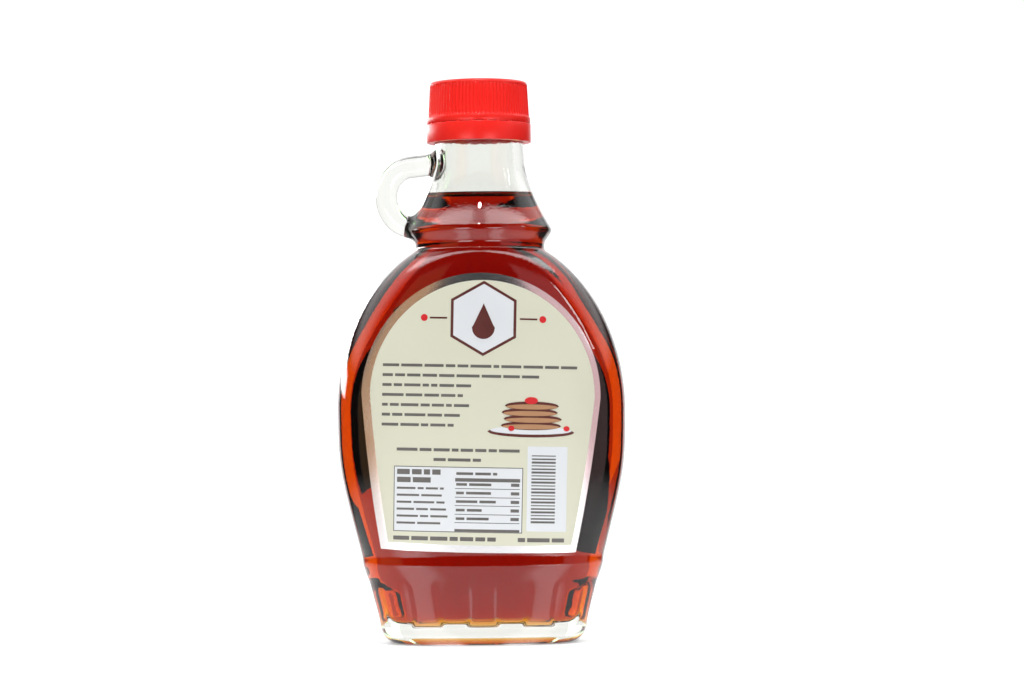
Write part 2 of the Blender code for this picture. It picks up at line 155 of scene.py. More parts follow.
# How finely the glass is drawn
COLUMNS = 360
UNDER_INSETS = np.array([12.0, 10.0, 8.8, 7.8, 6.8, 5.8, 5.3, 4.8, 4.3, 3.8]) * MM
FOOT_LEVELS = np.concatenate(([0.12, 0.35, 0.75, 1.3, 2.0, 2.9], np.linspace(3.8, 27.2, 40))) * MM
BODY_LEVELS = np.concatenate((np.linspace(29.0, 111.0, 38), np.linspace(112.0, 124.0, 31),
                              np.linspace(124.6, 146.0, 36), [150.0, 155.0, 161.6])) * MM
INSIDE_HIGH_LEVELS = np.array([148.0, 155.0, 161.6]) * MM

# Cap; the crown's shares are of the radius and of the drop, the skirt's of the way down and of the ribs' depth
CAP_TOP_Z = 164.3 * MM
CAP_CROWN = 0.25 * MM
CAP_CROWN_SHARES = ((0.35, 0.0), (0.7, 0.1), (0.86, 0.45))
CAP_CORNER = 0.9 * MM
CAP_TOP_RADIUS = 14.3 * MM
CAP_SKIRT_RADIUS = 14.8 * MM
CAP_SKIRT_SHARES = ((0.0, 0.0), (0.03, 0.5), (0.08, 1.0), (0.35, 1.0), (0.65, 1.0), (0.92, 1.0), (0.97, 0.5),
                    (1.0, 0.1))
CAP_BEAD_RADIUS = 15.15 * MM
CAP_BEAD_Z = 153.6 * MM
CAP_EDGE = 0.1 * MM
CAP_SLIT_Z = 151.75 * MM
CAP_SLIT = 0.18 * MM
CAP_WALL_RADIUS = 13.2 * MM
CAP_UNDERSIDE_Z = 162.8 * MM
CAP_RIBS = 84
CAP_RIB_DEPTH = 0.38 * MM
COLUMNS_IN_RIB = 8
BAND_RADIUS = 15.25 * MM
BAND_FOOT_Z = 146.3 * MM
BAND_EDGE = 0.16 * MM
BRIDGES = 24
BRIDGE_HALF_WIDTH = 0.55 * MM
BRIDGE_RADII = (CAP_WALL_RADIUS + 0.3 * MM, CAP_BEAD_RADIUS - 0.12 * MM)
BRIDGE_REACH = 0.7 * CAP_SLIT
SHARP_EDGE = 50.0

# Label
LABEL_MIDDLE_Z = 72.0 * MM
LABEL_HALF_WIDTH = 34.4 * MM
LABEL_ARCH = 35.3 * MM
LABEL_LAST_ANGLE = 89.6
LABEL_FOOT_Z = 27.0 * MM
LABEL_FOOT_BOW = 0.5 * MM
LABEL_BOW_REACH = 14.0 * MM
LABEL_SIDE_SLOPE = 0.1
LABEL_SIDE_CURVE = 0.9
LABEL_TILT = math.radians(-1.6)
LABEL_BACK = -0.03 * MM
LABEL_FRONT = 0.1 * MM
FOIL = 2.1 * MM
EDGE_CROWDING = 0.98

# Heights of the printed layers over the glass
PRINT_BACK = LABEL_FRONT - 0.01 * MM
CREAM_OUT = LABEL_FRONT + 0.04 * MM
WHITE_OUT = LABEL_FRONT + 0.06 * MM
INK_OUT = LABEL_FRONT + 0.08 * MM
ACCENT_OUT = LABEL_FRONT + 0.1 * MM
TOP_OUT = INK_OUT + 0.11 * MM

# Print: left, right, low and high of the boxes; lines of bars; badge and small picture
PRINT_SHIFT = 0.4 * MM
PRINT_COLUMN = 1.6 * MM
PRINT_ROW = 0.7 * MM
TABLE = (-24.5 * MM, 12.5 * MM, 32.8 * MM, 51.6 * MM)
TABLE_RULE = 0.22 * MM
TABLE_SPLIT = -6.9 * MM
TABLE_RULES = ((47.9, 1.0), (45.4, 0.2), (42.9, 0.2), (40.5, 0.2), (38.0, 0.2), (35.6, 0.2), (33.4, 0.7))
TABLE_HEADS = ((1.5, 13.4), (1.5, 10.6))
STRIPE_BOX = (13.7 * MM, 25.1 * MM, 33.4 * MM, 57.8 * MM)
STRIPES = (14.9 * MM, 21.8 * MM, 35.6 * MM, 55.6 * MM)
STRIPE_COUNT = 21
WORD_WIDTHS = (1.6, 6.6)
WORD_GAP = 0.62 * MM
LEAST_WORD = 0.9 * MM
TEXT_LEFT = -28.3 * MM
TEXT_TOP = 80.5 * MM
TEXT_PITCH = 2.84 * MM
TEXT_RIGHT = (27.5, 16.6, -2.8, -5.1, -3.3, -5.9, -7.6)
TEXT_HEIGHT = 0.8 * MM
SINGLE_LINES = ((-23.8, 11.4, 56.4, 0.85), (-13.2, 0.4, 53.6, 0.85), (-24.5, 5.0, 30.9, 1.15),
                (11.3, 24.6, 30.9, 1.15))
BADGE_Z = 94.2 * MM
BADGE = (PRINT_SHIFT, BADGE_Z, 9.4 * MM, 10.8 * MM)
BADGE_FIELD = (PRINT_SHIFT, BADGE_Z, 8.6 * MM, 9.9 * MM)
BADGE_DROP_Z = BADGE_Z - 2.6 * MM
BADGE_DROP_RADIUS = 3.3 * MM
BADGE_RULE = (10.4 * MM, 15.4 * MM)
BADGE_DOT_X = 17.0 * MM
PICTURE_X = 14.5 * MM
PICTURE_Z = 62.5 * MM
PANCAKE_LEANS = (0.0, 0.5, -0.4, 0.2)
BERRIES = ((-5.6, 0.4), (10.2, 0.5))

# Looks of the solid finishes
# The red plastic's glow is painted light: the cap gives off a little of its own red
RED_PLASTIC = dict(dark=(0.90, 0.018, 0.013), light=(0.95, 0.024, 0.018), roughness=(0.3, 0.38), grain=900.0,
                   bump=0.00001, glow=0.08)
FOIL_LOOK = dict(dark=(0.64, 0.63, 0.64), light=(0.78, 0.77, 0.79), roughness=(0.18, 0.3), grain=1500.0,
                 bump=0.00002, metallic=1.0)
CREAM_LOOK = dict(dark=(0.70, 0.70, 0.56), light=(0.73, 0.73, 0.59), roughness=(0.42, 0.55), grain=1800.0,
                  bump=0.00001)
INK_LOOK = dict(roughness=(0.42, 0.55), grain=1800.0, bump=0.000008, sheen_scale=200.0)
INKS = {"white": ((0.76, 0.79, 0.82), (0.8, 0.82, 0.85)), "grey": ((0.10, 0.095, 0.09), (0.16, 0.15, 0.14)),
        "brown": ((0.07, 0.012, 0.01), (0.10, 0.02, 0.015)), "red": ((0.6, 0.02, 0.025), (0.7, 0.03, 0.035)),
        "tan": ((0.42, 0.22, 0.11), (0.5, 0.28, 0.15))}

# Looks of glass and syrup; a zone is the pair of places between which it comes in or goes out
GLASS_IOR = 1.52
# Glass colour runs from a clear shade to a grey-green one: partly the glass's own tint, partly painted shade
GLASS_TINT_AND_SHADE = ((0.98, 0.99, 0.975), (0.75, 0.76, 0.71))
HANDLE_ZONE_X = (-0.019, -0.0165)
HANDLE_ZONE_Z = (0.118, 0.121)
BARE_ZONE_Z = (0.128, 0.133)
HEEL_ZONE_Z = (0.004, 0.0075)
BARE_TINT_AND_SHADE = 0.42
HEEL_TINT_AND_SHADE = 0.9
HANDLE_TINT_AND_SHADE = 0.5
HANDLE_ROUGHNESS = 0.12
PEEL_ZONE_Z = (0.100, 0.112)
PEEL_STRENGTH = (0.4, 2.0)
PEEL_DEPTH = 0.000012
SYRUP_IOR = 1.457
SYRUP_TINT = (0.908, 0.63, 0.0, 1.0)
SYRUP_DENSITY = 500.0

# Studio: floor with its two lit sectors (two angles and a soft edge, in degrees), strengths and colours of the room
FLOOR_REACH = 0.27
FLOOR_FADE = 0.08
FLOOR_SIDES = 96
FLOOR_GLOW = 0.35
FLOOR_SECTOR = (24.0, 50.0, 6.0)
FLOOR_SECTOR_LIGHT = 1.5
ROOM_WHITE = 1.15
ROOM_SHADE = 0.05
ROOM_STEEP_LOSS = 0.55
ROOM_SIDE_LOSS = 0.3
REAR_STRIP_LIGHT = 1.2
REAR_WALL_LIGHT = 1.3
PANE_LIGHT = 8.0
HOOP_LEAN = (0.243, 0.970)
HOOP_LIGHT = 6.0
LOW_SIDE_LIGHT = 6.0
TAN_WALL = (1.0, 0.58, 0.30)
TAN_LIGHT = 0.6
PINK_WALL = (1.0, 0.66, 0.67)
PINK_LIGHT = 0.9

# Lamps: azimuth from the camera's side to the right, elevation, distance, width, height, radiance, and
# whether mirrors and glass show it
STUDIO_MIDDLE_Z = 0.09
LIGHTS_AIM = Vector((0.0, 0.0, 0.1))
LIGHTS = (("soft_box", -46.0, 45.0, 1.1, 0.46, 0.24, 14.5, False),
          ("soft_box", 46.0, 45.0, 1.1, 0.46, 0.24, 14.5, False),
          ("hot_lamp", 0.0, 58.0, 1.0, 0.04, 0.06, 420.0, True),
          ("strip", 80.0, 30.0, 1.0, 0.05, 0.2, 8.0, True),
          ("fill", -20.0, 15.0, 1.2, 0.5, 0.5, 1.5, False))

# Cards behind the bottle, met only by light bent through the glass: the black ones are painted shade and the lit
# ones painted light; left, low, right and high in mm, then a step out of the upper left corner if it has one
SHADE_CARDS_Y = 50.0 * MM
LIT_CARDS_Y = 160.0 * MM
PAINTED_SHADE_CARD = ((0.004, 0.004, 0.004), (0.006, 0.006, 0.006))
CARD_LIT = ((2.1, 3.5, 1.7), (2.15, 3.6, 1.75))
CARDS = {
    "shade_card_left": (-26.0, 51.0, -11.0, 77.0), "shade_card_right": (-3.0, 33.0, 32.0, 86.0, 11.5, 57.0, 50.0),
    "shade_card_high_right": (13.0, 85.0, 80.0, 101.0), "shade_card_high_left": (-80.0, 86.0, -5.0, 101.0),
    "lit_right": (58.0, 5.0, 240.0, 110.0), "lit_left": (-240.0, 5.0, -64.0, 76.0)}

CAMERA_PLACE = (0.0091, -0.9, 0.072)
CAMERA_LENS = 107.8
CAMERA_PITCH = math.radians(1.02)
CAMERA_ROLL = math.radians(-0.6)


def larger(a, b, rounding):
    """The larger of a and b, with the corner between them filled: r * ln(e^(a/r) + e^(b/r))."""
    return rounding * np.logaddexp(a / rounding, b / rounding)


def smaller(a, b, rounding):
    """The smaller of a and b, with the corner between them rounded off in the same way."""
    return -larger(-a, -b, rounding)


def smoothstep(z, start=0.0, height=1.0):
    """0 up to a start and 1 past a height over it; between them 3t^2 - 2t^3 of the share t of that height."""
    t = np.clip((z - start) / height, 0.0, 1.0)
    return t * t * (3.0 - 2.0 * t)


def walk(x, y):
    """Distance walked along a line of points, from 0 at the first."""
    return np.concatenate(([0.0], np.cumsum(np.hypot(np.diff(x), np.diff(y)))))


def unit(ways):
    """Directions divided by their lengths."""
    return ways / np.linalg.norm(ways, axis=-1, keepdims=True)


def placed(x, y, z):
    """Rings or rows of points: x and y point by point, z row by row."""
    return np.stack((x, y, np.broadcast_to(z[:, None], x.shape)), axis=-1)


def evenly(count):
    """Turns evenly spaced round the axis."""
    return 2.0 * np.pi * np.arange(count) / count


def flutes(count, columns):
    """Even waves round the bottle: half of 1 - cos, 0 on a crest and 1 in a furrow."""
    return 0.5 - 0.5 * np.cos(count * 2.0 * np.pi * np.arange(columns) / columns)


def flare(z):
    """Radius of the bare neck: r0 + rate * drop^power under the flare's top, nearly straight above."""
    drop = np.maximum(FLARE_TOP_Z - z, 0.0) / MM
    climb = np.clip((z - FLARE_TOP_Z) / NECK_TAPER_HEIGHT, 0.0, 1.0)
    taper = (NECK_RADIUS - FLARE_TOP_RADIUS) * climb
    return FLARE_TOP_RADIUS + FLARE_RATE * MM * drop ** FLARE_POWER + taper


def neck_profile(z):
    """The flare, cut off below by the lip's sloping underside, which runs down to the groove."""
    under = UNDERCUT_SLOPE * larger(0.0, z - UNDERCUT_Z, GROOVE_ROUNDING)
    return smaller(flare(z), GROOVE_RADIUS + under, LIP_ROUNDING)


def quarter(z, start, height):
    """Height of a quarter circle of radius 1 over a level: sqrt(1 - rise^2)."""
    rise = np.clip((z - start) / height, 0.0, 1.0)
    return np.sqrt(1.0 - rise * rise)


def body_size(z):
    """Half width, half depth and squareness of the flask's level section."""
    z = np.asarray(z, float)
    fall = larger(0.0, TAPER_START_Z - z, TAPER_SOFTNESS)
    low_width = BELLY_HALF_WIDTH - SIDE_TAPER * fall
    arch = ARCH_INSET + (BELLY_HALF_WIDTH - ARCH_INSET) * quarter(z, BELLY_Z, ARCH_HEIGHT)
    width = np.where(z < BELLY_Z, low_width, arch)
    low_depth = BELLY_HALF_DEPTH - FACE_TAPER * fall
    base = GROOVE_RADIUS - ARCH_INSET
    dome = base + (BELLY_HALF_DEPTH - base) * quarter(z, DOME_START_Z, DOME_HEIGHT)
    depth = np.where(z < DOME_START_Z, low_depth, dome)
    low_power = FOOT_SECTION + (BELLY_SECTION - FOOT_SECTION) * z / BELLY_Z
    left = np.clip((SHOULDER_TOP_Z - z) / (SHOULDER_TOP_Z - BELLY_Z), 0.0, 1.0)
    ease = np.sin(0.5 * np.pi * left) ** 4.0
    power = np.where(z < BELLY_Z, low_power, ROUND_SECTION + (BELLY_SECTION - ROUND_SECTION) * ease)
    return width, depth, power


def outer_size(z):
    """The body's size up to the shoulder, joined to the neck's profile with a small fillet."""
    width, depth, power = body_size(z)
    neck = neck_profile(z)
    width, depth = (np.where(z > NECK_JOIN_Z, larger(size, neck, GROOVE_ROUNDING), size) for size in (width, depth))
    return np.where(z >= NECK_ALONE_Z, neck, width), np.where(z >= NECK_ALONE_Z, neck, depth), power


def section(width, depth, power, angles):
    """Level section: an oval in angle, pushed out by (|cos|^n + |sin|^n)^(-1/n)."""
    c, s = np.cos(angles), np.sin(angles)
    push = (abs(c) ** power + abs(s) ** power) ** (-1.0 / power)
    return push * width * c, push * depth * s


def even_angles(count):
    """Angles whose points stand evenly along the foot's edge, and that edge's length."""
    fine = np.linspace(0.0, 2.0 * np.pi, 14401)
    walked = walk(*section(*[float(v) for v in body_size(PANEL_MIDDLE_Z)], fine))
    return np.interp(walked[-1] * np.arange(count) / count, walked, fine), walked[-1]


ANGLES, FOOT_EDGE = even_angles(COLUMNS)


def panel_sink(z):
    """Depth of the ten panels: a rounded rectangle's distance inside its edge, eased to full depth."""
    pitch = FOOT_EDGE / PANELS
    walked = FOOT_EDGE * np.arange(COLUMNS) / COLUMNS
    across = (walked + 0.5 * pitch) % pitch - 0.5 * pitch
    out_x = abs(across)[None, :] - 0.5 * PANEL_WIDTH + PANEL_CORNER
    out_z = abs(z - PANEL_MIDDLE_Z)[:, None] - 0.5 * (PANEL_HIGH_Z - PANEL_LOW_Z) + PANEL_CORNER
    outside = np.hypot(np.maximum(out_x, 0.0), np.maximum(out_z, 0.0))
    beyond = outside + np.minimum(np.maximum(out_x, out_z), 0.0) - PANEL_CORNER
    fade = smoothstep((PANEL_FADE_END_Z - z) / PANEL_FADE)[:, None]
    return PANEL_DEPTH * smoothstep(-beyond / PANEL_EDGE) * fade


def ledge(z, facing):
    """The ledge over the panels: a cosine-squared bump, larger on the flat faces."""
    reach = np.where(z > LEDGE_Z, LEDGE_REACH_UP, LEDGE_REACH_DOWN)
    off = np.clip(abs(z - LEDGE_Z) / reach, 0.0, 1.0)
    height = LEDGE_ON_SIDE + (LEDGE_ON_FACE - LEDGE_ON_SIDE) * facing
    return height * np.cos(0.5 * np.pi * off) ** 2


def rings_at(z, foot=False):
    """Rings of the outside at levels z; the foot has its rounded heel and its panels."""
    width, depth, power = (v[:, None] for v in outer_size(z))
    out = ledge(z[:, None], np.sin(ANGLES) ** 2)
    if foot:
        drop = np.clip(HEEL_RADIUS - z, 0.0, HEEL_RADIUS)
        heel = HEEL_RADIUS - np.sqrt(HEEL_RADIUS ** 2 - drop ** 2)
        out = out - heel[:, None] - panel_sink(z)
    return placed(*section(width + out, depth + out, power, ANGLES), z)


def under_rings():
    """Rings under the foot, from near the middle out to the heel: push-up and knurled ring."""
    edge = HEEL_RADIUS + STANDING_RING
    height = PUSH_UP * smoothstep((UNDER_INSETS - edge) / PUSH_UP_SLOPE)
    width, depth, power = (float(v) for v in body_size(0.0))
    back = UNDER_INSETS[:, None]
    x, y = section(width - back, depth - back, power, ANGLES)
    on_ring = smoothstep(UNDER_INSETS, HEEL_RADIUS, KNURL_EDGE) * smoothstep((edge - UNDER_INSETS) / KNURL_EDGE)
    z = height[:, None] + KNURL_DEPTH * on_ring[:, None] * flutes(KNURLS, COLUMNS)
    return np.stack((x, y, z), axis=-1)


def ripple(z):
    """The inside's slow waves: a sum of sines of the column's angle and the level."""
    total = 0.0
    for turns, length, start, height in WAVES:
        phase = turns * ANGLES + 2.0 * np.pi * z[:, None] / (length * MM) + start
        total = total + height * MM * np.sin(phase)
    return total


def inside_radius(z):
    """Round inside of the neck: bore, flare and a waist behind the lip."""
    return smaller(larger(flare(z) - WALL, BORE_RADIUS, BORE_ROUNDING), INSIDE_WAIST, INSIDE_WAIST_ROUNDING)


def inside_rings(top_row_z):
    """Rings of the inside from the floor to the mouth, and the number of rings under the filling's edge."""
    turn = np.radians(np.linspace(0.0, 80.0, 9))
    rise = np.linspace(1.0, 0.2, 5)
    corner_back = np.concatenate((FLOOR_SPREAD + FLOOR_CHANNEL * rise, FLOOR_SPREAD * (1.0 - np.sin(turn))))
    corner_z = np.concatenate((FLOOR_RISE * smoothstep(rise), FLOOR_CORNER * (1.0 - np.cos(turn))))
    low = np.linspace(FLOOR_Z + FLOOR_CORNER, 112.0 * MM, 32)
    neck = np.linspace(113.5 * MM, top_row_z, 15)
    high = np.linspace(top_row_z + 0.8 * MM, 142.0 * MM, 10)
    z = np.concatenate((FLOOR_Z + corner_z, low, neck, high, INSIDE_HIGH_LEVELS))
    back = np.concatenate((WALL + corner_back, np.full(len(z) - len(corner_z), WALL)))
    width, depth, power = body_size(z)
    above = smoothstep(z, *INSIDE_ROUND_FROM)
    power = ROUND_SECTION + (power - ROUND_SECTION) * (1.0 - INSIDE_ROUND_SHARE * above)
    width = width - SIDE_THICKENING * above * (1.0 - smoothstep(z, *THICK_SIDE_UNTIL))
    bore, join = inside_radius(z), smoothstep(z, *BORE_FROM)
    shoulder = larger(width - WALL, bore, INSIDE_SHOULDER_ROUNDING)
    width = np.where(z > BORE_FROM[0], shoulder, width - back)
    depth = np.where(z > BORE_FROM[0], (1.0 - join) * (depth - WALL) + join * bore, depth - back)
    width = np.where(z > BORE_ALONE_Z, bore, width)
    wave = ripple(z) * smoothstep(z, *WAVES_FROM)[:, None] * (1.0 - smoothstep(z, *WAVES_UNTIL))[:, None]
    rings = placed(*section(width[:, None] + wave, depth[:, None] + wave, power[:, None], ANGLES), z)
    return rings, len(corner_z) + len(low) + len(neck)


def between(index):
    """Quads between the neighbouring rows and columns of a grid of point numbers."""
    return np.stack((index[:-1, :-1], index[:-1, 1:], index[1:, 1:], index[1:, :-1]), axis=-1)


def between_round(index):
    """The same quads with the last column joined to the first."""
    return between(np.concatenate((index, index[:, :1]), axis=1))


def fan(ring, middle):
    """Triangles from a ring of numbered points to a middle point."""
    return np.stack((ring, np.roll(ring, -1), np.full_like(ring, middle)), axis=-1)


def capped(skin, first_z, last_z, more=np.zeros((0, 3))):
    """Points of a skin of rings, more points and the two ends' middles; its quads; its ends' triangles."""
    rows, columns = skin.shape[:2]
    points = np.concatenate((skin.reshape(-1, 3), more, [[0.0, 0.0, first_z], [0.0, 0.0, last_z]]))
    index = np.arange(rows * columns).reshape(rows, columns)
    ends = np.concatenate((fan(index[0], len(points) - 2), fan(index[-1], len(points) - 1)))
    return points, between_round(index), ends


def added(name, data):
    """A new object in the scene."""
    made = bpy.data.objects.new(name, data)
    bpy.context.scene.collection.objects.link(made)
    return made


def make_piece(name, points, quads, triangles=(), slots=None, flat=None):
    """A mesh object from arrays of points, quads and triangles, with its faces turned outwards."""
    faces = [np.asarray(quads).reshape(-1, 4), np.asarray(triangles, int).reshape(-1, 3)]
    used, places = np.unique(np.concatenate([f.ravel() for f in faces]), return_inverse=True)
    split = faces[0].size
    quads = places[:split].reshape(-1, 4)
    triangles = places[split:].reshape(-1, 3)
    mesh = bpy.data.meshes.new(name)
    mesh.from_pydata(points[used].tolist(), [], quads.tolist() + triangles.tolist())
    if slots is not None:
        mesh.polygons.foreach_set("material_index", np.asarray(slots, dtype=np.int32))
    work = bmesh.new()
    work.from_mesh(mesh)
    bmesh.ops.recalc_face_normals(work, faces=work.faces)
    work.to_mesh(mesh)
    work.free()
    mesh.shade_smooth()
    if flat is not None:
        mesh.set_sharp_from_angle(angle=math.radians(flat))
    piece = added(name, mesh)
    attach(piece, "root")
    return piece


def handle_line():
    """The tube's middle line, evenly spaced: straight arm, oval arc, end in the lip, all smoothed."""
    turn = np.radians(np.linspace(90.0, HANDLE_LAST_ANGLE, 60))
    arc = HANDLE_MIDDLE + np.stack((np.cos(turn), np.sin(turn)), axis=-1) * HANDLE_HALF_SIZE
    line = np.concatenate(([HANDLE_START], arc, [HANDLE_END])).T
    walked = walk(*line)
    weights = np.hanning(HANDLE_SMOOTHING)
    pad = HANDLE_SMOOTHING // 2
    smooth = []
    for share in line:
        share = np.interp(np.linspace(0.0, walked[-1], HANDLE_STEPS), walked, share)
        first = share[0] - (share[1] - share[0]) * np.arange(pad, 0, -1)
        last = share[-1] + (share[-1] - share[-2]) * np.arange(1, pad + 1)
        smooth.append(np.convolve(np.concatenate((first, share, last)), weights / weights.sum(), "valid"))
    return np.stack((smooth[0], np.zeros(HANDLE_STEPS), smooth[1]), axis=-1)


def root_hole(outside, level, rows_half, columns_half):
    """The block of the outside's grid that a root of the handle takes, and the loop of points round it."""
    row, middle = int(np.argmin(abs(outside[:, 0, 2] - level))), COLUMNS // 2
    r0, r1 = row - rows_half, row + rows_half
    c0, c1 = middle - columns_half, middle + columns_half
    low = [(r0, c) for c in range(c0, c1)]
    right = [(r, c1) for r in range(r0, r1)]
    high = [(r1, c) for c in range(c1, c0, -1)]
    left = [(r, c0) for r in range(r1, r0, -1)]
    return (slice(r0, r1), slice(c0, c1)), np.array(low + right + high + left)


def root_side(points, loop, centre, side):
    """A root's loop in its order round the tube: numbers, places, ways in the surface off the root, turns."""
    r, c = loop.T
    along = points[r + 1, c] - points[r - 1, c]
    across = points[r, c + 1] - points[r, c - 1]
    normal = unit(np.cross(across, along))
    place = points[r, c]
    away = place - place.mean(axis=0)
    away -= normal * (away * normal).sum(axis=1, keepdims=True)
    off = place - centre
    turn = np.arctan2(off[:, 1], off @ side)
    order = np.argsort(turn)
    return [values[order] for values in (COLUMNS * r + c, place, unit(away), turn)]


def hermite(start, start_way, end, end_way):
    """Rows between two loops of points: the cubic through both with the given ways at its ends."""
    t = np.linspace(0.0, 1.0, ROOT_ROWS + 2)[1:-1, None, None]
    h00, h10 = 2 * t ** 3 - 3 * t ** 2 + 1, t ** 3 - 2 * t ** 2 + t
    h01, h11 = -2 * t ** 3 + 3 * t ** 2, t ** 3 - t ** 2
    return h00 * start + h10 * start_way + h01 * end + h11 * end_way


def handle_rows(points, loops):
    """Rows of points of the handle, from the root on the neck to the root on the lip, and their loops."""
    line = handle_line()
    way = unit(np.gradient(line, axis=0))
    side = np.stack((way[:, 2], np.zeros(len(way)), -way[:, 0]), axis=-1)
    reach = np.hypot(line[:, 0], line[:, 1])
    clear = np.where(reach > neck_profile(line[:, 2]) + HANDLE_CLEARANCE)[0]
    first, last = clear[0], clear[-1]
    roots = [root_side(points, loop, line[stop], side[stop]) for loop, stop in zip(loops, (first, last))]
    (high_ring, start, high_away, high_turn), (low_ring, end, low_away, low_turn) = roots
    stops = np.arange(first, last + 1, 3)
    share = ((stops - first) / (last - first))[:, None]
    turns = (1.0 - share) * high_turn + share * low_turn
    sideways = HANDLE_TUBE * np.cos(turns)[..., None] * side[stops][:, None, :]
    depthways = HANDLE_TUBE * np.sin(turns)[..., None] * np.array([0.0, 1.0, 0.0])
    tube = line[stops][:, None, :] + sideways + depthways
    gap = np.linalg.norm(tube[0] - start, axis=1, keepdims=True)
    grow = hermite(start, -high_away * gap, tube[0], way[stops[0]] * gap)
    gap = np.linalg.norm(tube[-1] - end, axis=1, keepdims=True)
    sink = hermite(tube[-1], way[stops[-1]] * gap, end, low_away * gap)
    return np.concatenate((grow, tube, sink)), high_ring, low_ring


def make_glass(wet_top_z):
    """The flask: outside with the handle's two roots cut in, handle, mouth and inside, in one skin."""
    outside = np.concatenate((under_rings(), rings_at(FOOT_LEVELS, foot=True), rings_at(BODY_LEVELS)))
    high_block, high_loop = root_hole(outside, *NECK_ROOT)
    low_block, low_loop = root_hole(outside, *LIP_ROOT)
    tube, high_ring, low_ring = handle_rows(outside, (high_loop, low_loop))
    inside, wet_rows = inside_rings(wet_top_z)
    rim = [(NECK_RADIUS - MOUTH_EDGE, NECK_TOP_Z - MOUTH_EDGE), (NECK_RADIUS - MOUTH_FLAT, NECK_TOP_Z),
           (BORE_RADIUS + MOUTH_FLAT, NECK_TOP_Z), (BORE_RADIUS + MOUTH_EDGE, NECK_TOP_Z - MOUTH_EDGE)]
    skin = np.concatenate((outside, turned(rim, ANGLES), inside[::-1]))
    points, quads, ends = capped(skin, PUSH_UP, FLOOR_Z + FLOOR_RISE, tube.reshape(-1, 3))
    keep = np.ones(quads.shape[:2], bool)
    keep[high_block] = keep[low_block] = False
    wet = np.zeros(quads.shape[:2], int)
    wet[len(skin) - wet_rows:] = 1
    tube_numbers = len(skin) * COLUMNS + np.arange(tube[..., 0].size).reshape(tube.shape[:2])
    arm = between_round(np.concatenate((high_ring[None], tube_numbers, low_ring[None]))).reshape(-1, 4)
    slots = np.concatenate((wet[keep], np.zeros(len(arm) + COLUMNS, int), np.ones(COLUMNS, int)))
    glass = make_piece("clear_flask", points, np.concatenate((quads[keep], arm)), ends, slots)
    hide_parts("bottle_glass")
    return glass


def make_syrup(wet_top_z):
    """The filling: the inside's rings moved just into the wall, and a top that climbs at the glass."""
    inside, wet_rows = inside_rings(wet_top_z)
    side = inside[:wet_rows].copy()
    along = np.gradient(side, axis=0)
    across = np.roll(side, -1, axis=1) - np.roll(side, 1, axis=1)
    normal = unit(np.cross(across, along))
    normal[0] = (0.0, 0.0, -1.0)
    side += INTO_WALL * normal
    side[-1, :, 2] = wet_top_z
    rim = side[-1]
    scale = 1.0 - SURFACE_RINGS[:, None] / np.hypot(rim[:, 0], rim[:, 1])
    film = MENISCUS + (FILM_HEIGHT - MENISCUS) * (1.0 - SURFACE_RINGS / FILM_DEPTH)
    curve = MENISCUS * np.exp(-(SURFACE_RINGS - FILM_DEPTH) / MENISCUS_REACH)
    climb = np.where(SURFACE_RINGS < FILM_DEPTH, film, curve)
    top = placed(rim[:, 0] * scale, rim[:, 1] * scale, LEVEL_Z + climb)
    points, quads, ends = capped(np.concatenate((side, top)), FLOOR_Z + FLOOR_RISE - INTO_WALL, LEVEL_Z)
    slots = np.zeros(quads.shape[:2], int)
    slots[-len(top):] = 1
    slots = np.concatenate((slots.ravel(), np.zeros(COLUMNS, int), np.ones(COLUMNS, int)))
    syrup = make_piece("amber_syrup", points, quads, ends, slots)
    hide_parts("syrup")
    return syrup


def turned(profile, turns, cuts=0.0):
    """Rings of a turned profile of radii and levels, less the cuts into each ring."""
    radius, z = np.array(profile).T
    radius = radius[:, None] - cuts
    return placed(radius * np.cos(turns), radius * np.sin(turns), z)


def make_cap():
    """The cap: a crowned top with a rounded edge, a ribbed skirt, a plain bead and the bore inside."""
    columns = CAP_RIBS * COLUMNS_IN_RIB
    crown_z = CAP_TOP_Z - CAP_CROWN
    rows = [(CAP_TOP_RADIUS * share, CAP_TOP_Z - fall * CAP_CROWN) for share, fall in CAP_CROWN_SHARES]
    for turn in np.radians(np.linspace(5.0, 88.0, 7)):
        radius = CAP_TOP_RADIUS - CAP_CORNER * (1.0 - math.sin(turn))
        rows.append((radius, crown_z - CAP_CORNER * (1.0 - math.cos(turn))))
    cut = np.zeros(len(rows) + 2 * len(CAP_SKIRT_SHARES))
    cut[len(rows):len(rows) + len(CAP_SKIRT_SHARES)] = [depth for _, depth in CAP_SKIRT_SHARES]
    rib_top, rib_foot = crown_z - CAP_CORNER, CAP_BEAD_Z + CAP_EDGE
    for share, _ in CAP_SKIRT_SHARES:
        radius = CAP_TOP_RADIUS + (CAP_SKIRT_RADIUS - CAP_TOP_RADIUS) * share
        rows.append((radius, rib_top + (rib_foot - rib_top) * share))
    slit_top = CAP_SLIT_Z + 0.5 * CAP_SLIT
    rows += [(CAP_BEAD_RADIUS - CAP_EDGE, CAP_BEAD_Z), (CAP_BEAD_RADIUS, CAP_BEAD_Z - 0.3 * MM),
             (CAP_BEAD_RADIUS, slit_top + 0.15 * MM), (CAP_BEAD_RADIUS - CAP_EDGE, slit_top),
             (CAP_WALL_RADIUS + CAP_EDGE, slit_top), (CAP_WALL_RADIUS, slit_top + CAP_EDGE),
             (CAP_WALL_RADIUS, CAP_UNDERSIDE_Z - 0.2 * MM), (CAP_WALL_RADIUS - 0.2 * MM, CAP_UNDERSIDE_Z)]
    rings = turned(rows, evenly(columns), CAP_RIB_DEPTH * cut[:, None] * flutes(CAP_RIBS, columns))
    cap = make_piece("ribbed_cap", *capped(rings, CAP_TOP_Z, CAP_UNDERSIDE_Z), flat=SHARP_EDGE)
    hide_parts("screw_cap")
    return cap


